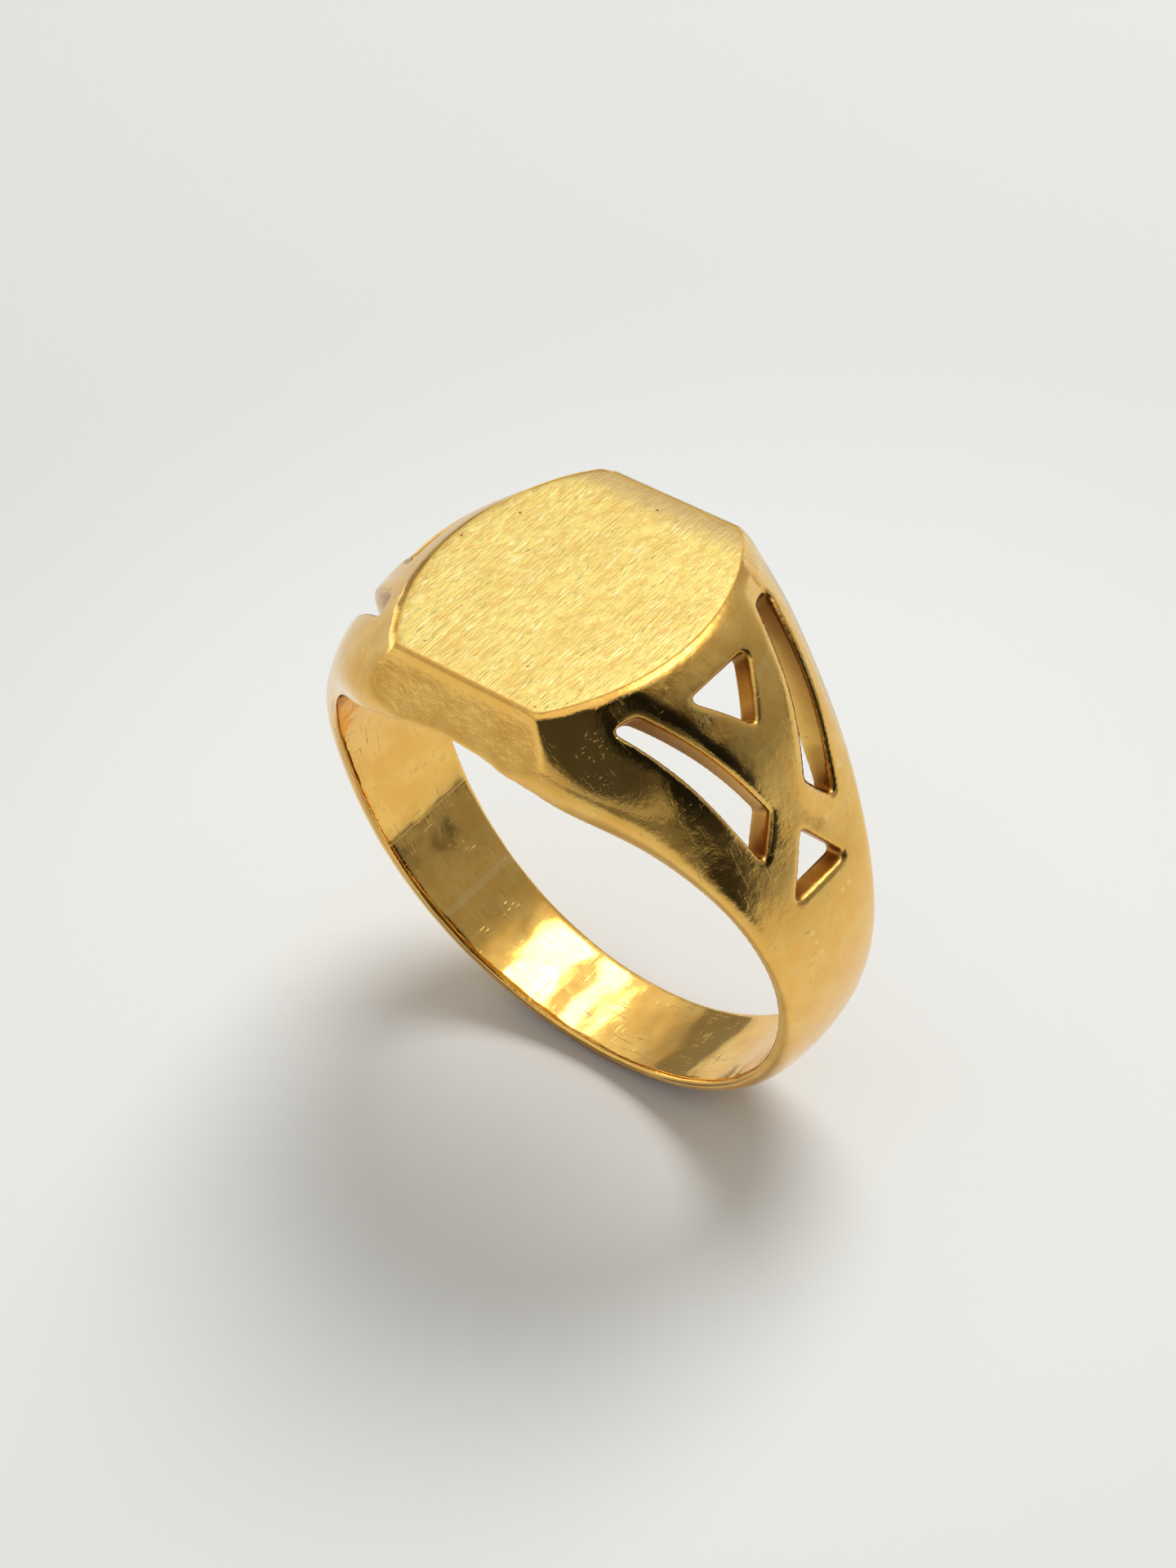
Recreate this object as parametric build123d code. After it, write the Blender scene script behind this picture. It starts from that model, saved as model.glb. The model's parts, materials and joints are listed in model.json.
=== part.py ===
"""Signet ring with a brushed barrel-shaped table, a hollow head and pierced shoulders.

Millimetres. The finger hole runs along Y and is centred on the origin; the table faces +Z.
The ring is shaped as one blank, the way a bench jeweller files it up, and is then parted along
its solder seams into the pieces that were joined to make it.
"""

from build123d import *
from math import atan2, cos, degrees, radians, sin, tan
import os

# Driving dimensions
BORE_RADIUS = 9.5
TABLE_HEIGHT = 11.5        # finger axis to the face of the table
TABLE_HALF_LENGTH = 5.45   # along the finger, to the straight edge
TABLE_HALF_EDGE = 2.95     # half of the straight edge
TABLE_HALF_WIDTH = 5.08    # across the finger, to the middle of a bowed side
TABLE_BOW = 8.23           # radius of a bowed side
EDGE_BEVEL = 0.1           # broken edge round the table
PLATE_RIM = 0.14           # top of the walls left showing round the plate
PLATE_CORNER = 0.45        # rounding of the plate's corners
PLATE_THICKNESS = 1.0
WALL = 1.0                 # sheet of the shoulders and cheeks
CHEEK_SPREAD = 0.475       # outward travel of a cheek per millimetre of drop
CHEEK_SEAM_SPREAD = 0.38   # sideways travel of the cheek's end seam per millimetre of drop
CHEEK_FOOT = 4.0           # level that no cheek reaches down to
SHANK_SEAM_ANGLE = 114.0   # from the table, round to the shank's butt seam
SHANK_SEAM_DEPTH = 6.0     # radial reach of the cut at that seam, well over the band's thickness
SEAM = 0.06                # gold solder in each joint

# Blank: angle from the table, reach towards the front and towards the back, outer radius on the
# centre line, thickness of the flat rim beside the finger hole. The head is a little fuller at the
# front than at the back.
STATIONS = [
    (2.0, 6.50, 6.50, 14.20, 0.50),
    (8.0, 6.48, 6.46, 14.00, 0.50),
    (15.0, 6.42, 6.12, 13.40, 0.50),
    (20.0, 6.31, 5.78, 12.78, 0.50),
    (25.0, 6.17, 5.42, 12.49, 0.50),
    (31.0, 5.82, 4.95, 12.23, 0.50),
    (38.0, 5.28, 4.44, 11.88, 0.48),
    (46.0, 4.70, 4.00, 11.28, 0.46),
    (54.0, 4.20, 3.63, 10.72, 0.44),
    (62.0, 3.74, 3.26, 10.44, 0.42),
    (75.0, 3.15, 2.78, 10.34, 0.38),
    (90.0, 2.65, 2.47, 10.36, 0.35),
    (112.0, 2.30, 2.28, 10.40, 0.32),
    (135.0, 2.08, 2.08, 10.40, 0.30),
    (158.0, 1.93, 1.93, 10.38, 0.30),
    (180.0, 1.88, 1.88, 10.37, 0.30),
]
BLANK_ROOT = 2.0           # depth of a section below the bore, cut away by the bore
CLOSER = (1.4, 14.0, 6.0)  # block that closes the hoop under the table
HOLLOW_END = 70.0          # angle past which the head's hollow has run out into the bore

# Windows in a shoulder. Their walls fan out from one line along the finger, so that they stand
# square to the shoulder. Each corner is (lift above the horizontal seen from that line, Y).
FAN_X, FAN_Z = -2.1, 2.7
FAN_MIDDLE = 28.0
FAN_NEAR, FAN_FAR = 7.0, 14.0
UPPER_TRIANGLE = [(44.7, -1.5), (44.7, 1.5), (34.4, 0.0)]
LOWER_TRIANGLE = [(13.9, 0.0), (3.5, 1.4), (3.5, -1.4)]
LONG_SLOT = [(49.3, 4.05), (48.3, 3.15), (20.3, 0.93), (13.2, 1.88)]
WINDOW_CORNER = 0.12

REACH = 30.0               # half size of the blocks used as half spaces


def radial_plane(angle):
    """Plane through the finger axis: local X runs along the finger, local Y points outward."""
    return Plane(
        origin=(0, 0, 0),
        x_dir=(0, 1, 0),
        z_dir=(cos(radians(angle)), 0, -sin(radians(angle))),
    )


def section(angle, front, back, crown_radius, rim, inset=0.0):
    """Half-round section of the blank, or of the hollow when it is inset by the wall."""
    front -= inset
    back -= inset
    spring = BORE_RADIUS + rim - inset
    root = BORE_RADIUS - BLANK_ROOT
    rise = crown_radius - inset - spring
    centre = (0, spring)
    crown = [
        *EllipticalCenterArc(centre, back, rise, start_angle=0, arc_size=90).edges(),
        *EllipticalCenterArc(centre, front, rise, start_angle=90, arc_size=90).edges(),
    ]
    foot = Polyline((-front, spring), (-front, root), (back, root), (back, spring))
    return radial_plane(angle) * Wire(crown + foot.edges())


def both_sides(stations):
    """Stations from the ring's left side, over the top, to its right side."""
    left = [(-angle, *sizes) for angle, *sizes in reversed(stations)]
    return left + stations


def blank():
    """Outer shape: a loft down the right side, round the shank and up the left, closed on top."""
    left = [(360 - angle, *sizes) for angle, *sizes in reversed(STATIONS) if angle < 180]
    hoop = Solid.make_loft([section(*s) for s in STATIONS + left])
    return hoop + Pos(0, 0, TABLE_HEIGHT) * Box(*CLOSER)


def below(height):
    """Half space under a level."""
    return Pos(0, 0, height - REACH) * Box(2 * REACH, 2 * REACH, 2 * REACH)


def between_cheeks(inset=0.0):
    """Wedge of space between the two sloping cheek planes."""
    top = TABLE_HALF_LENGTH - inset
    drop = TABLE_HEIGHT + REACH
    base = top + CHEEK_SPREAD * drop
    outline = Polyline(
        (-top, TABLE_HEIGHT), (top, TABLE_HEIGHT), (base, -REACH), (-base, -REACH), close=True
    )
    return extrude(Plane.YZ * make_face(outline), REACH, both=True)


def hollow():
    """Space inside the head and shoulders, from the finger hole up to the plate."""
    sections = [section(*s, inset=WALL) for s in both_sides(STATIONS) if abs(s[0]) <= HOLLOW_END]
    inside = Solid.make_loft(sections)
    return inside & below(TABLE_HEIGHT - PLATE_THICKNESS) & between_cheeks(WALL)


def plate_blank(gap, depth):
    """Barrel-shaped plate let into the table, inset by a gap from the table's edge."""
    bow = Pos(TABLE_HALF_WIDTH - TABLE_BOW, 0) * Circle(TABLE_BOW - gap)
    sides = bow & bow.mirror(Plane.YZ)
    outline = sides & Rectangle(REACH, 2 * (TABLE_HALF_LENGTH - gap))
    outline = fillet(outline.vertices(), PLATE_CORNER)
    return extrude(Pos(0, 0, TABLE_HEIGHT) * outline, -depth)


def table_plate():
    return plate_blank(PLATE_RIM + SEAM, PLATE_THICKNESS)


def table_pocket():
    """Seat for the plate and for the solder round and under it."""
    return plate_blank(PLATE_RIM, PLATE_THICKNESS + SEAM)


def window(corners, side=1):
    """Cutter for one window in the right shoulder, or its mirror for the other slot."""
    middle = radians(FAN_MIDDLE)
    across = Plane(origin=(FAN_X, 0, FAN_Z), x_dir=(0, 1, 0), z_dir=(cos(middle), 0, sin(middle)))

    def outline(distance):
        rise = [distance * tan(radians(lift - FAN_MIDDLE)) for lift, _ in corners]
        points = [(side * y, v) for (_, y), v in zip(corners, rise)]
        return across.offset(distance) * Polyline(*points, close=True).wires()[0]

    cutter = Solid.make_loft([outline(FAN_NEAR), outline(FAN_FAR)], ruled=True)
    fanned = cutter.edges().filter_by(across, reverse=True)
    return cutter.fillet(WINDOW_CORNER, fanned)


def windows():
    """The four windows of each shoulder."""
    right = [
        window(UPPER_TRIANGLE),
        window(LOWER_TRIANGLE),
        window(LONG_SLOT),
        window(LONG_SLOT, side=-1),
    ]
    return right + [w.mirror(Plane.YZ) for w in right]


def ring_body():
    """The walls and shank before they are parted, with the table's edge broken."""
    trimmed = blank() & below(TABLE_HEIGHT) & between_cheeks()
    table = trimmed.faces().sort_by(Axis.Z)[-1]
    trimmed = trimmed.chamfer(EDGE_BEVEL, None, table.edges())
    bore = Rot(90, 0, 0) * Cylinder(BORE_RADIUS, 2 * REACH)
    body = trimmed - bore - hollow() - table_pocket()
    for cutter in windows():
        body -= cutter
    return body


def cheek_seams():
    """Sloping slabs at the ends of the cheeks."""
    slope = degrees(atan2(CHEEK_SEAM_SPREAD, 1))
    slabs = []
    for side in (-1, 1):
        place = Pos(side * TABLE_HALF_EDGE, 0, TABLE_HEIGHT) * Rot(0, -side * slope, 0)
        slabs.append(place * Box(SEAM, REACH, REACH) - below(CHEEK_FOOT))
    return slabs


def shank_seams():
    """Radial slabs where the shank butts against the shoulders."""
    slabs = []
    for side in (-1, 1):
        turn = Rot(0, side * SHANK_SEAM_ANGLE, 0)
        slabs.append(turn * Pos(0, 0, BORE_RADIUS) * Box(SEAM, REACH, SHANK_SEAM_DEPTH))
    return slabs


def parted(body):
    """The solids left when every seam slab is taken out of the body, by piece name."""
    for slab in cheek_seams() + shank_seams():
        body -= slab
    solids = body.solids()
    return {
        "left_shoulder": min(solids, key=lambda s: s.center().X),
        "right_shoulder": max(solids, key=lambda s: s.center().X),
        "front_cheek": min(solids, key=lambda s: s.center().Y),
        "back_cheek": max(solids, key=lambda s: s.center().Y),
        "shank": min(solids, key=lambda s: s.center().Z),
    }


def solder(body):
    """The gold solder that fills each kind of seam."""
    under_plate = table_pocket() - table_plate() - hollow()
    return {
        "table_solder": under_plate,
        "cheek_solder": Compound([s for slab in cheek_seams() for s in (body & slab).solids()]),
        "shank_solder": Compound([s for slab in shank_seams() for s in (body & slab).solids()]),
    }


def main():
    os.makedirs("parts", exist_ok=True)
    body = ring_body()
    pieces = {"table_plate": table_plate(), **parted(body), **solder(body)}
    for name, piece in pieces.items():
        export_step(piece, f"parts/{name}.step")


main()
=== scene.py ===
"""Looks of the signet ring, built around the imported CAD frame.

Shapes are worked on in millimetres and made into meshes in metres, like the frame. The finger
hole runs along Y through the origin and the table faces +Z. Every gold piece is redrawn from its
CAD node: the node's triangles are curved to follow its normals, turned into a field of
distances, and softened, so that surfaces are smooth and edges are worn. The walls and the shank
are drawn as one skin, which is then cut along the CAD's solder seams.
"""

import itertools
import json
import math

import bmesh
import bpy
import numpy as np
import openvdb
from mathutils import Matrix, Vector

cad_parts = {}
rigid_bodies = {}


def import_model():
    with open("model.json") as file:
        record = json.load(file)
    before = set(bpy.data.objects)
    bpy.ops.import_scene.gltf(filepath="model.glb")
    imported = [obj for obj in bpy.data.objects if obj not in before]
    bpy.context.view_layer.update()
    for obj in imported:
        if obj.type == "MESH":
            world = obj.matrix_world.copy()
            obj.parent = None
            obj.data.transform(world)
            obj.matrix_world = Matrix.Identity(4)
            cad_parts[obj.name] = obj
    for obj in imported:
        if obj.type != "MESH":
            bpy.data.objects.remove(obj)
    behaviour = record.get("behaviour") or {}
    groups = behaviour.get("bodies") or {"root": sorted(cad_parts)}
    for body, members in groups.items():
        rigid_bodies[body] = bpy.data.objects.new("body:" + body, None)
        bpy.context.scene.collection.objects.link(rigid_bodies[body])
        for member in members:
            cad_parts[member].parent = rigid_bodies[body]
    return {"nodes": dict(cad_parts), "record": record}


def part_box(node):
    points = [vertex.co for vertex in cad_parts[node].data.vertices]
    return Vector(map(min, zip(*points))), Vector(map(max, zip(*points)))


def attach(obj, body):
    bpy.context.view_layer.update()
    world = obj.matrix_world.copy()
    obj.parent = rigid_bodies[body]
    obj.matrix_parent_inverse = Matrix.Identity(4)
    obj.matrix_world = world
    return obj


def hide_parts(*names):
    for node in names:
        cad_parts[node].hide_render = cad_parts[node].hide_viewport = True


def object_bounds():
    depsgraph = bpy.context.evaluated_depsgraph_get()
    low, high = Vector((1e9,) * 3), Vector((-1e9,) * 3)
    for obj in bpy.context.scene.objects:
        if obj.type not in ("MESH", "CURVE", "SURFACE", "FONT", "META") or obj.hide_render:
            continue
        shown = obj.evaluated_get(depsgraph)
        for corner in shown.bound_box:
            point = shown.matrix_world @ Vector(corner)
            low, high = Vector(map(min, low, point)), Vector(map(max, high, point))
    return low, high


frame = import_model()
cad_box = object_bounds()

MM = 0.001
WALL_NODES = ["left_shoulder", "right_shoulder", "front_cheek", "back_cheek", "shank"]
FILM_NODES = ["cheek_solder", "shank_solder"]

CELL = 0.09          # spacing of the grid that a skin is drawn on
BAND = 6             # cells on each side of a surface where distances are kept
WEAR = 0.09          # how far an edge's softening reaches
ROLL_WIDTH = 1.3     # the table's back edge is filed round over this width
ROLL_DROP = 0.07     # and falls this far
TURN_STEP = 1.0      # degrees a surface may turn across one small triangle
SEAM_TOUCH = 0.002   # a face this close to a seam plane lies in the seam


# ---------------------------------------------------------------- skins

def node_triangles(name):
    """Corner points and corner normals of a CAD node's triangles, in millimetres."""
    mesh = frame["nodes"][name].data
    mesh.calc_loop_triangles()
    points = np.empty(len(mesh.vertices) * 3, np.float32)
    mesh.vertices.foreach_get("co", points)
    normals = np.empty(len(mesh.loops) * 3, np.float32)
    mesh.corner_normals.foreach_get("vector", normals)
    vertices = np.empty(len(mesh.loop_triangles) * 3, np.int32)
    mesh.loop_triangles.foreach_get("vertices", vertices)
    loops = np.empty(len(mesh.loop_triangles) * 3, np.int32)
    mesh.loop_triangles.foreach_get("loops", loops)
    corners = points.reshape(-1, 3)[vertices.reshape(-1, 3)] / MM
    return corners.astype(float), normals.reshape(-1, 3)[loops.reshape(-1, 3)].astype(float)


def dot(a, b):
    return np.sum(a * b, axis=-1, keepdims=True)


def curved_patch(corners, normals, steps):
    """Cuts each triangle into small ones that bend with its corner normals, as a cubic patch."""
    p = corners.transpose(1, 0, 2)
    n = normals.transpose(1, 0, 2)

    def handle(i, j):
        return (2 * p[i] + p[j] - dot(p[j] - p[i], n[i]) * n[i]) / 3

    handles = {(i, j): handle(i, j) for i in range(3) for j in range(3) if i != j}
    middle = sum(handles.values()) / 6
    middle = middle + (middle - p.mean(0)) / 2
    grid = [(i, j) for i in range(steps + 1) for j in range(steps + 1 - i)]
    number = {place: k for k, place in enumerate(grid)}
    points = []
    for i, j in grid:
        w = np.array([steps - i - j, i, j]) / steps
        point = sum(p[a] * w[a] ** 3 for a in range(3)) + 6 * middle * w.prod()
        point = point + sum(3 * h * w[a] ** 2 * w[b] for (a, b), h in handles.items())
        points.append(point)
    small = []
    for i, j in grid:
        if i + j < steps:
            small.append((number[i, j], number[i + 1, j], number[i, j + 1]))
        if i + j < steps - 1:
            small.append((number[i + 1, j], number[i + 1, j + 1], number[i, j + 1]))
    points = np.stack(points, axis=1)
    offsets = np.arange(len(points)) * len(grid)
    faces = np.array(small)[None] + offsets[:, None, None]
    return points.reshape(-1, 3), faces.reshape(-1, 3)


def curved_skin(names, seams=()):
    """The curved triangles of some nodes, without the faces that lie in a seam between them."""
    pairs = [node_triangles(name) for name in names]
    corners = np.concatenate([c for c, _ in pairs])
    normals = np.concatenate([n for _, n in pairs])
    keep = np.ones(len(corners), bool)
    centres = corners.mean(1)
    flat = np.cross(corners[:, 1] - corners[:, 0], corners[:, 2] - corners[:, 0])
    flat /= np.maximum(np.linalg.norm(flat, axis=1, keepdims=True), 1e-12)
    for seam in seams:
        for offset in seam["sides"]:
            close = np.abs(centres @ seam["normal"] - offset) < SEAM_TOUCH
            square = np.abs(flat @ seam["normal"]) > 0.99
            inside = ((centres > seam["low"]) & (centres < seam["high"])).all(1)
            keep &= ~(close & square & inside)
    corners = corners[keep]
    normals = normals[keep]
    cosines = np.min([dot(normals[:, i], normals[:, i - 1])[:, 0] for i in range(3)], axis=0)
    turns = np.degrees(np.arccos(np.clip(cosines, -1, 1)))
    steps = np.clip(np.ceil(turns / TURN_STEP), 1, 12).astype(int)
    points, faces, count = [], [], 0
    for step in np.unique(steps):
        chosen = steps == step
        more_points, more_faces = curved_patch(corners[chosen], normals[chosen], int(step))
        points.append(more_points)
        faces.append(more_faces + count)
        count += len(more_points)
    return np.concatenate(points), np.concatenate(faces)


def blur(field, reach):
    """Gaussian softening of a grid, one axis at a time."""
    taps = np.arange(-math.ceil(2.5 * reach), math.ceil(2.5 * reach) + 1)
    weights = np.exp(-taps ** 2 / (2 * reach ** 2))
    weights /= weights.sum()
    for axis in range(3):
        total = np.zeros_like(field)
        for tap, weight in zip(taps, weights):
            total += np.float32(weight) * np.roll(field, tap, axis)
        field = total
    return field


def distance_grid(names, seams=()):
    """Signed distances to some nodes' surface, near it."""
    points, faces = curved_skin(names, seams)
    return openvdb.FloatGrid.createLevelSetFromPolygons(
        points.astype(np.float32),
        triangles=faces.astype(np.uint32),
        transform=openvdb.createLinearTransform(voxelSize=CELL),
        halfWidth=BAND,
    )


def sampled(grid, corner, shape):
    field = np.empty(shape, np.float32)
    grid.copyToArray(field, ijk=tuple(int(c) for c in corner))
    return field


def between(field, at):
    """Values of a grid at places between its points."""
    base = np.clip(np.floor(at).astype(int), 0, np.array(field.shape) - 2)
    part = at - base
    total = 0.0
    for corner in itertools.product((0, 1), repeat=3):
        weight = np.prod(np.where(corner, part, 1 - part), axis=1)
        total = total + weight * field[tuple((base + corner).T)]
    return total


def slope_between(field, at, step=0.5):
    """Slopes of a grid at places between its points, per cell."""
    shifts = np.eye(3) * step
    return np.stack([between(field, at + s) - between(field, at - s) for s in shifts], axis=1) / (2 * step)


def sharpened(at, worn, carve):
    """Moves the points that cut a corner, where two surfaces meet, out to that corner."""
    for _ in range(3):
        gap = np.stack([between(worn, at), between(carve, at)], axis=1)
        inside = np.flatnonzero((gap < -0.02 * CELL).all(1) & (gap > -1.2 * CELL).all(1))
        slopes = np.stack([slope_between(f, at[inside]) for f in (worn, carve)], axis=1)
        move = np.einsum("nij,nj->ni", np.linalg.pinv(slopes, rcond=0.2), -gap[inside])
        at[inside] += np.clip(move, -1, 1)
    return at


def carved_surface(worn, carve, corner):
    """Points and quads of the solid that two fields of distances share, with a crisp edge."""
    grid = openvdb.FloatGrid(background=BAND * CELL)
    grid.copyFromArray(np.maximum(worn, carve))
    points, _, quads = grid.convertToPolygons(isovalue=0.0, adaptivity=0.0)
    points = sharpened(points.astype(float), worn, carve)
    return (points + corner) * CELL, quads[:, ::-1]


def rolled_height(along):
    """Height of the table's face at a place along the finger, in millimetres."""
    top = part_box("table_plate")[1].z / MM
    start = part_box("table_solder")[1].y / MM - ROLL_WIDTH
    return top - ROLL_DROP * (np.maximum(along - start, 0.0) / ROLL_WIDTH) ** 2


def build_skins(seams, margin=4):
    """Worn skins of the walls and of the plate let into them, which share one flat table."""
    walls = distance_grid(WALL_NODES + FILM_NODES, seams)
    low, high = walls.evalActiveVoxelBoundingBox()
    corner = np.array(low) - margin
    shape = np.array(high) - low + 2 * margin
    walls = sampled(walls, corner, shape)
    plate = sampled(distance_grid(["table_plate"]), corner, shape)
    bottom, top = (place.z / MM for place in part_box("table_plate"))
    gap = (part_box("table_solder")[1].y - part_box("table_plate")[1].y) / MM
    height = (np.arange(shape[2], dtype=np.float32) + np.float32(corner[2])) * np.float32(CELL)
    closed = np.minimum(walls, np.maximum(plate - 2 * gap, height - top))
    along = (np.arange(shape[1], dtype=np.float32) + np.float32(corner[1])) * np.float32(CELL)
    closed = np.maximum(closed, height - rolled_height(along)[:, None].astype(np.float32))
    worn = blur(closed, WEAR / CELL)
    halfway = round((bottom + top) / 2 / CELL) - corner[2]
    outline = plate[:, :, halfway, None]
    pocket = np.maximum(outline - gap, bottom - gap - height)
    block = np.maximum(outline, bottom - height)
    return carved_surface(worn, -pocket, corner), carved_surface(worn, block, corner)


def mesh_from(name, points, faces):
    mesh = bpy.data.meshes.new(name)
    mesh.from_pydata((points * MM).tolist(), [], faces.tolist())
    mesh.polygons.foreach_set("use_smooth", np.ones(len(mesh.polygons), bool))
    mesh.update()
    return mesh


def add_piece(name, mesh, slot, *nodes):
    piece = bpy.data.objects.new(name, mesh)
    bpy.context.scene.collection.objects.link(piece)
    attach(piece, "root")
    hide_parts(*nodes)
    return piece


# ---------------------------------------------------------------- seams

def islands(mesh):
    """The separate solids of a CAD node: the normal of the largest face, and all the points."""
    work = bmesh.new()
    work.from_mesh(mesh)
    bmesh.ops.remove_doubles(work, verts=work.verts, dist=1e-7)
    unseen = set(work.faces)
    found = []
    while unseen:
        queue = [unseen.pop()]
        island = []
        while queue:
            face = queue.pop()
            island.append(face)
            for edge in face.edges:
                for other in edge.link_faces:
                    if other in unseen:
                        unseen.remove(other)
                        queue.append(other)
        biggest = max(island, key=lambda f: f.calc_area())
        points = np.array([v.co[:] for f in island for v in f.verts]) / MM
        found.append((np.array(biggest.normal[:]), points))
    work.free()
    return found


def seam_films(node, margin=0.4):
    """Each solder film of a node, as the space between two planes inside a box."""
    films = []
    for normal, points in islands(frame["nodes"][node].data):
        along = points @ normal
        films.append({
            "normal": normal,
            "sides": (along.min(), along.max()),
            "low": points.min(0) - margin,
            "high": points.max(0) + margin,
        })
    return films


def in_box(point, film):
    return all(film["low"][i] < point[i] / MM < film["high"][i] for i in range(3))


def cut_along(work, film):
    """Cuts the skin at both sides of a solder film."""
    for offset in film["sides"]:
        faces = {f for v in work.verts if in_box(v.co, film) for f in v.link_faces}
        edges = {e for f in faces for e in f.edges}
        verts = {v for f in faces for v in f.verts}
        bmesh.ops.bisect_plane(
            work,
            geom=list(verts) + list(edges) + list(faces),
            plane_co=Vector(film["normal"]) * (offset * MM),
            plane_no=Vector(film["normal"]),
            dist=1e-8,
        )


def in_film(face, film):
    centre = face.calc_center_median()
    low, high = film["sides"]
    return in_box(centre, film) and low < centre.dot(Vector(film["normal"])) / MM < high


def close_cuts(work):
    """Fills each cut with a flat face."""
    rim = [e for e in work.edges if e.is_boundary]
    filled = bmesh.ops.holes_fill(work, edges=rim, sides=0)["faces"]
    bmesh.ops.recalc_face_normals(work, faces=filled)


def part_skin(skin, films):
    """The walls, and each node of solder films, cut out of one skin."""
    work = bmesh.new()
    work.from_mesh(skin)
    for film in (film for group in films.values() for film in group):
        cut_along(work, film)
    label = work.faces.layers.int.new("label")
    for number, group in enumerate(films.values(), start=1):
        for film in group:
            for face in [f for f in work.faces if in_film(f, film)]:
                face[label] = number
    parts = {}
    for number, name in enumerate(["walls", *films]):
        part = work.copy()
        label = part.faces.layers.int["label"]
        others = [f for f in part.faces if f[label] != number]
        bmesh.ops.delete(part, geom=others, context="FACES")
        parts[name] = part
    work.free()
    return parts


def loose_parts(work):
    """Splits a bmesh into its connected parts."""
    holder = bpy.data.objects.new("holder", bpy.data.meshes.new("holder"))
    work.to_mesh(holder.data)
    work.free()
    bpy.context.scene.collection.objects.link(holder)
    bpy.ops.object.select_all(action="DESELECT")
    bpy.context.view_layer.objects.active = holder
    holder.select_set(True)
    before = set(bpy.data.objects)
    bpy.ops.object.mode_set(mode="EDIT")
    bpy.ops.mesh.select_all(action="SELECT")
    bpy.ops.mesh.separate(type="LOOSE")
    bpy.ops.object.mode_set(mode="OBJECT")
    parts = []
    for obj in [holder] + [o for o in bpy.data.objects if o not in before]:
        part = bmesh.new()
        part.from_mesh(obj.data)
        parts.append(part)
        bpy.data.objects.remove(obj)
    return parts


def nearest_node(work, names):
    """The CAD node whose box lies nearest to a mesh's."""
    points = np.array([v.co[:] for v in work.verts])
    corners = np.concatenate([points.min(0), points.max(0)])

    def away(name):
        low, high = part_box(name)
        return np.linalg.norm(np.array([*low, *high]) - corners)

    return min(names, key=away)


def finished_mesh(name, work):
    """A mesh that is smooth but for its real edges."""
    mesh = bpy.data.meshes.new(name)
    work.to_mesh(mesh)
    work.free()
    mesh.polygons.foreach_set("use_smooth", np.ones(len(mesh.polygons), bool))
    mesh.set_sharp_from_angle(angle=math.radians(40))
    return mesh


def build_gold():
    """A mesh for every gold piece and film of solder, by node name."""
    films = {node: seam_films(node) for node in FILM_NODES}
    seams = [film for group in films.values() for film in group]
    walls, plate = build_skins(seams)
    parts = part_skin(mesh_from("walls", *walls), films)
    for part in loose_parts(parts.pop("walls")):
        parts[nearest_node(part, WALL_NODES)] = part
    meshes = {}
    for name, part in parts.items():
        close_cuts(part)
        meshes[name] = finished_mesh(name + "_look", part)
    whole_plate = bmesh.new()
    whole_plate.from_mesh(mesh_from("plate", *plate))
    meshes["table_plate"] = finished_mesh("table_plate_look", whole_plate)
    meshes["table_solder"] = build_table_solder()
    return meshes


# ---------------------------------------------------------------- table

def build_table_solder(recess=0.006):
    """The CAD's solder film, with its top edge sunk a hair below the table's face."""
    mesh = frame["nodes"]["table_solder"].data.copy()
    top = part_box("table_solder")[1].z
    for vertex in mesh.vertices:
        if vertex.co.z > top - recess * MM:
            vertex.co.z = (rolled_height(vertex.co.y / MM) - recess) * MM
    return mesh


# ---------------------------------------------------------------- materials

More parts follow.
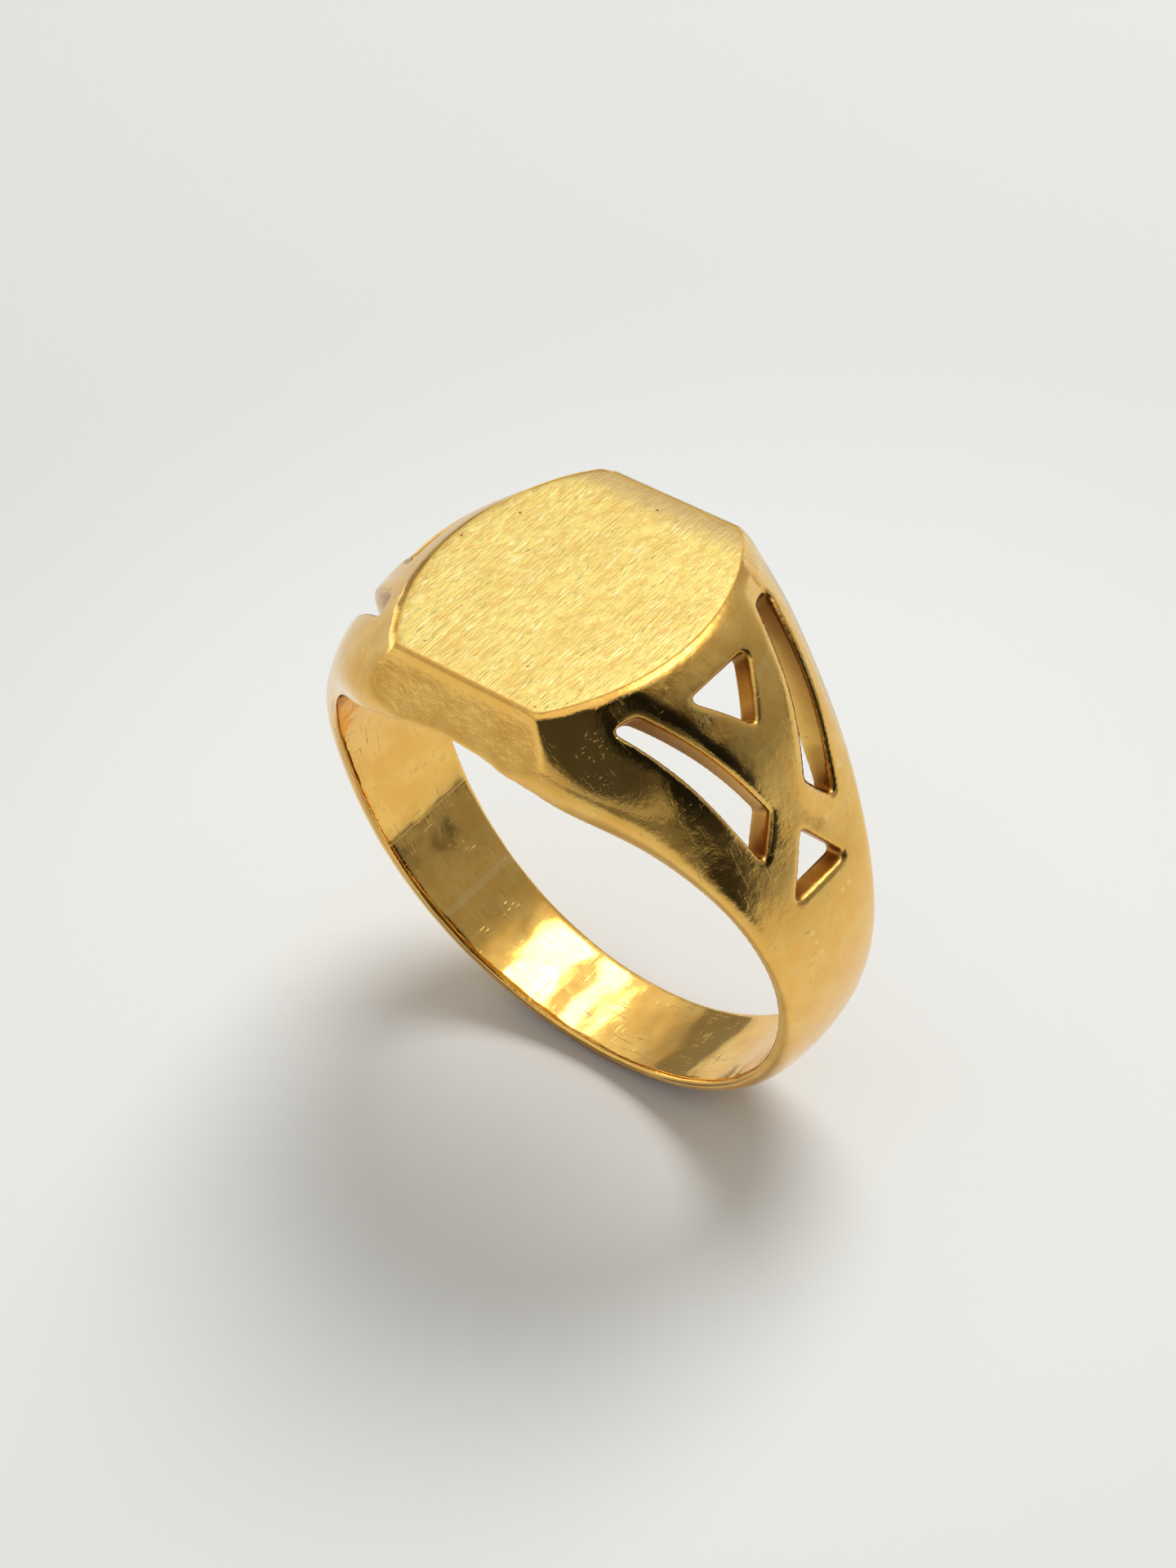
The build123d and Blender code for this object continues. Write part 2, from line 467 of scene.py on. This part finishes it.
class Shading:
    """Short names for the nodes of one material, working in millimetres of the ring's frame."""

    def __init__(self, name):
        self.material = bpy.data.materials.new(name)
        self.material.use_nodes = True
        self.tree = self.material.node_tree
        self.shader = self.tree.nodes["Principled BSDF"]
        place = self.tree.nodes.new("ShaderNodeTexCoord").outputs["Object"]
        self.place = self.vector("MULTIPLY", place, (1 / MM, 1 / MM, 1 / MM))

    def axes(self):
        """X, Y and Z in millimetres."""
        node = self.tree.nodes.new("ShaderNodeSeparateXYZ")
        self.put(self.place, node.inputs[0])
        return list(node.outputs)

    def put(self, value, socket):
        if isinstance(value, bpy.types.NodeSocket):
            self.tree.links.new(value, socket)
        else:
            socket.default_value = value

    def vector(self, operation, first, second):
        node = self.tree.nodes.new("ShaderNodeVectorMath")
        node.operation = operation
        self.put(first, node.inputs[0])
        self.put(second, node.inputs[1])
        return node.outputs["Value" if operation in ("DOT_PRODUCT", "LENGTH") else "Vector"]

    def number(self, operation, first, second=0.0):
        node = self.tree.nodes.new("ShaderNodeMath")
        node.operation = operation
        self.put(first, node.inputs[0])
        self.put(second, node.inputs[1])
        return node.outputs["Value"]

    def noise(self, scale, detail=2.0, place=None):
        node = self.tree.nodes.new("ShaderNodeTexNoise")
        self.put(self.vector("MULTIPLY", place or self.place, scale), node.inputs["Vector"])
        node.inputs["Scale"].default_value = 1.0
        node.inputs["Detail"].default_value = detail
        return node.outputs["Fac"]

    def spread(self, scale):
        """Noise as a vector of three values either side of 0."""
        node = self.noise(scale).node
        return self.vector("SUBTRACT", node.outputs["Color"], (0.5, 0.5, 0.5))

    def specks(self, scale, randomness=1.0):
        node = self.tree.nodes.new("ShaderNodeTexVoronoi")
        self.put(self.vector("MULTIPLY", self.place, scale), node.inputs["Vector"])
        node.inputs["Scale"].default_value = 1.0
        node.inputs["Randomness"].default_value = randomness
        return node.outputs["Distance"]

    def span(self, value, low, high, to_low=0.0, to_high=1.0):
        node = self.tree.nodes.new("ShaderNodeMapRange")
        node.interpolation_type = "SMOOTHSTEP"
        for socket, given in zip(node.inputs, (value, low, high, to_low, to_high)):
            self.put(given, socket)
        return node.outputs["Result"]

    def mix(self, factor, first, second):
        """The first number where factor is 0, the second where it is 1."""
        node = self.tree.nodes.new("ShaderNodeMix")
        for socket, value in zip(node.inputs, (factor, (0, 0, 0), first, second)):
            self.put(value, socket)
        return node.outputs[0]

    def blend(self, factor, first, second):
        """The same for colours."""
        node = self.tree.nodes.new("ShaderNodeMix")
        node.data_type = "RGBA"
        self.put(factor, node.inputs[0])
        for name, value in (("A", first), ("B", second)):
            socket = next(s for s in node.inputs if s.name == name and s.type == "RGBA")
            self.put((*value, 1.0) if isinstance(value, tuple) else value, socket)
        return next(s for s in node.outputs if s.type == "RGBA")

    def bump(self, height, depth, under=None):
        """Raises the surface by depth millimetres where height is 1."""
        node = self.tree.nodes.new("ShaderNodeBump")
        node.inputs["Distance"].default_value = depth * MM
        self.put(height, node.inputs["Height"])
        if under:
            self.put(under, node.inputs["Normal"])
        return node.outputs["Normal"]

    def finish(self, colour, roughness, normal, gloss=0.0):
        self.put(gloss, self.shader.inputs["Coat Weight"])
        self.put(0.15, self.shader.inputs["Coat Roughness"])
        self.put(1.0, self.shader.inputs["Metallic"])
        self.put(colour, self.shader.inputs["Base Color"])
        self.put(roughness, self.shader.inputs["Roughness"])
        self.put(normal, self.shader.inputs["Normal"])
        return self.material


RICH_GOLD = (0.89, 0.53, 0.125)
GOLD = (0.94, 0.61, 0.17)
# painted highlight colour for raised edges
EDGE_HIGHLIGHT_GOLD = (1.0, 0.76, 0.36)
TARNISH = (0.42, 0.22, 0.06)
TABLE_RICH = (0.80, 0.54, 0.16)
TABLE_GOLD = (0.83, 0.59, 0.20)
TABLE_PALE = (0.95, 0.78, 0.29)
TABLE_GLINT = (1.0, 0.97, 0.58)
# painted shade along the table's filed-round back edge, where the face tilts away from the light
TABLE_ROLL_PAINTED_SHADE = (0.70, 0.50, 0.24)
TABLE_SHADE = (0.52, 0.34, 0.10)
# painted shade deep in the windows and slots
PAINTED_RECESS_SHADE = (0.37, 0.175, 0.04)

# The long slots of a shoulder: their walls fan out from a line along the finger. Each end of a
# slot's middle line is (lift above the horizontal seen from that line, Y).
FAN_X, FAN_Z = -2.1, 2.7
SLOT_TOP = (48.8, 3.6)
SLOT_FOOT = (17.0, 1.45)
SLOT_SCALE = 0.22       # millimetres along the shoulder for one degree of lift
DISH_REACH = 1.20       # the gold is dished this far from a slot's middle line
INNER_LEAN = 0.22
OUTER_LEAN = 0.14


HANDLED = 0.75    # how far the shoulders' outer halves are polished by handling


def worn_and_highlit_edges(s):
    """1 on raised edges, where handling has polished the gold and where the colour gets a painted highlight."""
    geometry = s.tree.nodes.new("ShaderNodeNewGeometry")
    return s.span(geometry.outputs["Pointiness"], 0.52, 0.60)


def slot_distance(s):
    """Millimetres from the nearest long slot's middle line, and which side: 0 inside, 1 outside."""
    x, y, z = s.axes()
    out = s.number("SUBTRACT", s.number("ABSOLUTE", x), FAN_X)
    lift = s.number("MULTIPLY", s.number("ARCTAN2", s.number("SUBTRACT", z, FAN_Z), out), math.degrees(1))
    up = s.number("MULTIPLY", s.number("SUBTRACT", lift, SLOT_FOOT[0]), SLOT_SCALE)
    side = s.number("SUBTRACT", s.number("ABSOLUTE", y), SLOT_FOOT[1])
    span_up = (SLOT_TOP[0] - SLOT_FOOT[0]) * SLOT_SCALE
    span_side = SLOT_TOP[1] - SLOT_FOOT[1]
    length = math.hypot(span_up, span_side)
    along = s.number("ADD", s.number("MULTIPLY", up, span_up / length), s.number("MULTIPLY", side, span_side / length))
    off = s.number("SUBTRACT", s.number("MULTIPLY", side, span_up / length), s.number("MULTIPLY", up, span_side / length))
    beyond = s.number("SUBTRACT", s.number("ABSOLUTE", s.number("SUBTRACT", along, length / 2)), length / 2)
    beyond = s.number("MAXIMUM", beyond, 0.0)
    near = s.number("SQRT", s.number("ADD", s.number("MULTIPLY", off, off), s.number("MULTIPLY", beyond, beyond)))
    return near, s.span(off, -0.2, 0.2)


def lean_at_slots(s, slot, side):
    """The surface normal, leaning away from the middle of the shoulder beside each long slot."""
    inside = s.span(slot, 0.7, DISH_REACH, INNER_LEAN, 0.0)
    outside = s.number("MULTIPLY", s.span(slot, 0.8, 1.3, 0.5, 1.0), s.span(slot, 1.5, 2.4, OUTER_LEAN, 0.0))
    lean = s.mix(side, inside, outside)
    geometry = s.tree.nodes.new("ShaderNodeNewGeometry")
    away = s.vector("MULTIPLY", s.vector("SIGN", s.place, (0, 0, 0)), (0.17, 0.956, 0.0))
    away = s.vector("ADD", away, (0.0, 0.0, -0.24))
    node = s.tree.nodes.new("ShaderNodeVectorMath")
    node.operation = "SCALE"
    s.put(away, node.inputs[0])
    s.put(lean, node.inputs["Scale"])
    leaning = s.vector("ADD", geometry.outputs["Normal"], node.outputs["Vector"])
    return s.vector("NORMALIZE", leaning, (0, 0, 0))


def recesses(s, reach=1.4):
    """1 deep in the windows and 0 in the open."""
    node = s.tree.nodes.new("ShaderNodeAmbientOcclusion")
    node.samples = 6
    node.only_local = False
    node.inputs["Distance"].default_value = reach * MM
    return s.span(node.outputs["AO"], 0.60, 0.95, 1.0, 0.0)


def brushed_gold():
    """Flat table: short strokes along the finger, patches of heavier brushing and a few pits."""
    s = Shading("brushed gold")
    sway = s.vector("MULTIPLY", s.spread((0.7, 0.35, 1.0)), (0.22, 0.0, 0.0))
    place = s.vector("ADD", s.place, sway)
    strokes = s.noise((22.0, 1.6, 1.0), 3.0, place)
    fine = s.noise((38.0, 5.0, 1.0), 2.0, place)
    patches = s.noise((3.4, 2.2, 1.0), 5.0)
    broad = s.noise((0.8, 0.6, 1.0), 2.0)
    ticks = s.span(s.noise((26.0, 2.2, 1.0), 1.0, place), 0.62, 0.70)
    ticks = s.number("MULTIPLY", ticks, s.span(patches, 0.45, 0.60))
    glints = s.span(s.noise((20.0, 2.4, 1.0), 2.0, place), 0.57, 0.68)
    pits = s.span(s.specks((0.9, 0.9, 0.1)), 0.035, 0.06, 1.0, 0.0)
    mixed = s.number("ADD", s.number("MULTIPLY", strokes, 0.35), s.number("MULTIPLY", patches, 0.65))
    colour = s.blend(s.span(mixed, 0.40, 0.58), TABLE_GOLD, TABLE_PALE)
    colour = s.blend(s.number("MULTIPLY", s.span(broad, 0.45, 0.7), 0.3), colour, TABLE_RICH)
    # Painted highlight: small bright glints are painted into the table's colour.
    colour = s.blend(s.number("MULTIPLY", glints, 0.7), colour, TABLE_GLINT)
    colour = s.blend(s.number("MULTIPLY", ticks, 0.7), colour, TABLE_SHADE)
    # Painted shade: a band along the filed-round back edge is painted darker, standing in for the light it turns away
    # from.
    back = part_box("table_solder")[1].y / MM
    painted_roll_shade = s.span(s.axes()[1], back - 1.2 * ROLL_WIDTH, back - 0.2 * ROLL_WIDTH, 0.0, 0.75)
    colour = s.blend(painted_roll_shade, colour, TABLE_ROLL_PAINTED_SHADE)
    colour = s.blend(pits, colour, TARNISH)
    roughness = s.span(patches, 0.3, 0.7, 0.34, 0.48)
    normal = s.bump(strokes, 0.012)
    normal = s.bump(fine, 0.004, normal)
    normal = s.bump(patches, 0.020, normal)
    normal = s.bump(ticks, -0.006, normal)
    return s.finish(colour, roughness, normal)


def wall_gold(name, outside):
    """Satin outside and polished in the finger hole, with soft waves, scratches, worn edges painted paler as a
    highlight, and painted shade in the windows.
    """
    s = Shading(name)
    radius = s.vector("LENGTH", s.vector("MULTIPLY", s.place, (1.0, 0.0, 1.0)), (0, 0, 0))
    bore = frame_bore_radius()
    polished = s.span(radius, bore + 0.08, bore + 0.20, 1.0, 0.0)
    waves = s.noise((0.42, 0.30, 0.42), 1.5)
    peel = s.noise((3.0, 3.0, 3.0), 3.0)
    grain = s.noise((14.0, 14.0, 14.0), 2.0)
    mottle = s.noise((0.9, 0.9, 0.9), 3.0)
    cross = s.span(s.noise((1.2, 16.0, 1.2), 1.5), 0.64, 0.76)
    along = s.span(s.noise((14.0, 1.0, 14.0), 1.5), 0.66, 0.78)
    scratches = s.number("MULTIPLY", s.number("ADD", cross, along), s.span(mottle, 0.42, 0.62))
    edges = worn_and_highlit_edges(s)
    colour = s.blend(s.span(mottle, 0.35, 0.65), RICH_GOLD, GOLD)
    colour = s.blend(s.number("MULTIPLY", scratches, 0.5), colour, (0.66, 0.38, 0.11))
    # Painted highlight: raised edges are painted paler; their lower roughness is real polish from wear.
    colour = s.blend(s.number("MULTIPLY", edges, 0.35), colour, EDGE_HIGHLIGHT_GOLD)
    satin = s.span(mottle, 0.35, 0.65, outside - 0.03, outside + 0.06)
    slot, side = slot_distance(s)
    handled = s.span(s.number("ABSOLUTE", s.axes()[1]), 1.8, 3.4)
    handled = s.number("MAXIMUM", handled, s.span(slot, 0.9, 1.5, 1.0, 0.0))
    satin = s.mix(s.number("MULTIPLY", handled, HANDLED), satin, 0.09)
    recess = recesses(s)
    # Painted shade: the colour is darkened where the occlusion mask says the surface lies deep in a window.
    colour = s.blend(recess, colour, PAINTED_RECESS_SHADE)
    satin = s.mix(recess, satin, 0.45)
    roughness = s.mix(polished, s.mix(edges, satin, 0.16), s.span(peel, 0.3, 0.7, 0.07, 0.13))
    normal = lean_at_slots(s, s.number("ADD", slot, s.number("MULTIPLY", polished, 3.0)), side)
    normal = s.bump(s.number("MULTIPLY", waves, s.mix(polished, 0.2, 1.0)), 0.16, normal)
    normal = s.bump(s.number("MULTIPLY", peel, s.number("SUBTRACT", 1.0, s.number("MULTIPLY", polished, 0.8))),
                    0.012, normal)
    normal = s.bump(s.number("MULTIPLY", grain, s.number("SUBTRACT", 1.0, polished)), 0.0025, normal)
    normal = s.bump(scratches, -0.007, normal)
    return s.finish(colour, roughness, normal, s.span(recess, 0.0, 0.5, 0.5, 0.0))


def frame_bore_radius():
    """Radius of the finger hole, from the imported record."""
    bore = next(m for m in frame["record"]["mounts"] if m["name"] == "finger_bore")
    return bore["dims"]["r_mm"]


def gold_solder():
    """Solder: close to the gold it joins, a little duller and slightly uneven."""
    s = Shading("gold solder")
    lumps = s.noise((4.0, 4.0, 4.0), 3.0)
    colour = s.blend(s.span(lumps, 0.35, 0.65), (0.86, 0.53, 0.14), (0.92, 0.60, 0.18))
    return s.finish(colour, s.span(lumps, 0.3, 0.7, 0.14, 0.22), s.bump(lumps, 0.004))


# ---------------------------------------------------------------- stage

def build_camera():
    camera = bpy.data.cameras.new("camera")
    camera.sensor_fit = "VERTICAL"
    camera.sensor_height = 36.0
    camera.lens = 74.74
    camera.clip_start = 0.001
    camera.clip_end = 10.0
    view = bpy.data.objects.new("camera", camera)
    right = Vector((0.77183, 0.62988, -0.08676))
    down = Vector((0.39587, -0.58283, -0.70965))
    ahead = Vector((-0.49756, 0.51338, -0.69919))
    turn = Matrix((right, -down, -ahead)).transposed()
    view.matrix_world = Matrix.Translation(Vector((55.475, -57.609, 80.688)) * MM) @ turn.to_4x4()
    bpy.context.scene.collection.objects.link(view)
    bpy.context.scene.camera = view


def build_floor(reach=0.8):
    """Pale matt paper under the ring, painted darker away from the ring as a falloff of light. To the gold, it ends
    where the room's dark side begins: there it is painted near black, a painted reflection of that dark side.
    """
    level = cad_box[0][2]
    mesh = bpy.data.meshes.new("floor")
    corners = [(-reach, -reach, level), (reach, -reach, level), (reach, reach, level), (-reach, reach, level)]
    mesh.from_pydata(corners, [], [(0, 1, 2, 3)])
    floor = bpy.data.objects.new("floor", mesh)
    bpy.context.scene.collection.objects.link(floor)
    s = Shading("pale paper")
    cloud = s.noise((0.02, 0.02, 0.02), 3.0)
    paper = s.blend(cloud, (0.805, 0.815, 0.80), (0.83, 0.835, 0.825))
    # Painted light falloff: the paper is painted darker away from the ring, so it looks brightest where the light
    # pools.
    painted_falloff = s.span(s.vector("LENGTH", s.place, (0, 0, 0)), 18.0, 50.0)
    paper = s.blend(painted_falloff, paper, (0.72, 0.73, 0.715))
    # Painted reflection: to glossy rays the far paper in a wedge is painted near black, standing in for the room's
    # dark side.
    ahead = s.vector("DOT_PRODUCT", s.place, direction(2, 0))
    aside = s.number("ABSOLUTE", s.vector("DOT_PRODUCT", s.place, direction(92, 0)))
    wedge = s.number("SUBTRACT", ahead, s.number("MULTIPLY", aside, 1.7))
    path = s.tree.nodes.new("ShaderNodeLightPath")
    dim = s.number("MULTIPLY", s.span(s.vector("DOT_PRODUCT", s.place, direction(-8, 0)), 40.0, 95.0), 0.7)
    painted_dark_reflection = s.number("MULTIPLY", s.number("MAXIMUM", s.span(wedge, 38.0, 66.0), dim), path.outputs["Is Glossy Ray"])
    s.put(s.blend(painted_dark_reflection, paper, (0.01, 0.01, 0.01)), s.shader.inputs["Base Color"])
    s.put(0.75, s.shader.inputs["Roughness"])
    floor.data.materials.append(s.material)


def direction(azimuth, elevation):
    """Unit vector, with azimuth measured from +X towards +Y."""
    azimuth = math.radians(azimuth)
    elevation = math.radians(elevation)
    flat = math.cos(elevation)
    return Vector((math.cos(azimuth) * flat, math.sin(azimuth) * flat, math.sin(elevation)))


# What the gold mirrors: azimuth, elevation, angles where the patch begins and ends to fade,
# brightness. Later patches lie over earlier ones.
ROOM = 0.55
PATCHES = [
    (90, 90, 22, 45, 0.95),
    (-122, 4, 25, 45, 0.85),
    (122, 50, 14, 32, 0.90),
    (20, 0, 40, 60, 0.40),
    (30, 6, 9, 19, 0.36),
    (180, 4, 16, 30, 1.5),
    (150, 10, 9, 18, 0.30),
    (95, 62, 18, 28, 1.0),
    (72, 61, 5, 10, 6.0),
    (118, 58, 5, 9, 5.0),
    (-46, 34, 22, 34, 0.08),
    (3, 44, 18, 25, 0.012),
    (3, 8, 19, 26, 0.012),
]


def build_world(pale=0.55):
    """An even pale surround, and for mirror-like gold a room with a window and a dark side."""
    world = bpy.data.worlds.new("studio")
    bpy.context.scene.world = world
    world.use_nodes = True
    tree = world.node_tree

    def blend(factor, first, second):
        node = tree.nodes.new("ShaderNodeMix")
        for socket, value in zip(node.inputs, (factor, None, first, second)):
            if isinstance(value, bpy.types.NodeSocket):
                tree.links.new(value, socket)
            elif value is not None:
                socket.default_value = value
        return node.outputs[0]

    way = tree.nodes.new("ShaderNodeTexCoord").outputs["Generated"]
    mirrored = ROOM
    for azimuth, elevation, full, gone, brightness in PATCHES:
        across = tree.nodes.new("ShaderNodeVectorMath")
        across.operation = "DOT_PRODUCT"
        tree.links.new(way, across.inputs[0])
        across.inputs[1].default_value = direction(azimuth, elevation)
        edge = tree.nodes.new("ShaderNodeMapRange")
        edge.interpolation_type = "SMOOTHSTEP"
        tree.links.new(across.outputs["Value"], edge.inputs["Value"])
        edge.inputs["From Min"].default_value = math.cos(math.radians(gone))
        edge.inputs["From Max"].default_value = math.cos(math.radians(full))
        mirrored = blend(edge.outputs["Result"], mirrored, brightness)
    glossy = tree.nodes.new("ShaderNodeLightPath").outputs["Is Glossy Ray"]
    tree.links.new(blend(glossy, pale, mirrored), tree.nodes["Background"].inputs["Strength"])
    tree.nodes["Background"].inputs["Color"].default_value = (1.0, 0.995, 0.975, 1.0)


def build_lights(distance=0.42):
    """One soft lamp, high and a little behind the ring."""
    light = bpy.data.lights.new("lamp", "AREA")
    light.shape = "DISK"
    light.size = 0.25
    light.energy = 1.15
    lamp = bpy.data.objects.new("lamp", light)
    lamp.location = direction(95, 60) * distance
    lamp.rotation_euler = lamp.location.to_track_quat("Z", "Y").to_euler()
    lamp.visible_glossy = False
    bpy.context.scene.collection.objects.link(lamp)


# ---------------------------------------------------------------- whole scene

def main():
    satin = wall_gold("satin gold", 0.27)
    looks = {
        "left_shoulder": ("satin_gold", satin),
        "right_shoulder": ("satin_gold", satin),
        "front_cheek": ("satin_gold", satin),
        "back_cheek": ("satin_gold", satin),
        "shank": ("polished_gold", wall_gold("polished gold", 0.18)),
        "table_plate": ("brushed_gold", brushed_gold()),
        "cheek_solder": ("gold_solder", gold_solder()),
        "shank_solder": ("gold_solder", gold_solder()),
        "table_solder": ("gold_solder", gold_solder()),
    }
    for node, mesh in build_gold().items():
        slot, material = looks[node]
        mesh.materials.clear()
        mesh.materials.append(material)
        add_piece(node + "_look", mesh, slot, node)
    build_floor()
    build_camera()
    build_world()
    build_lights()
    bpy.context.scene.view_settings.view_transform = "Standard"
    bpy.context.scene.view_settings.gamma = 0.88


main()
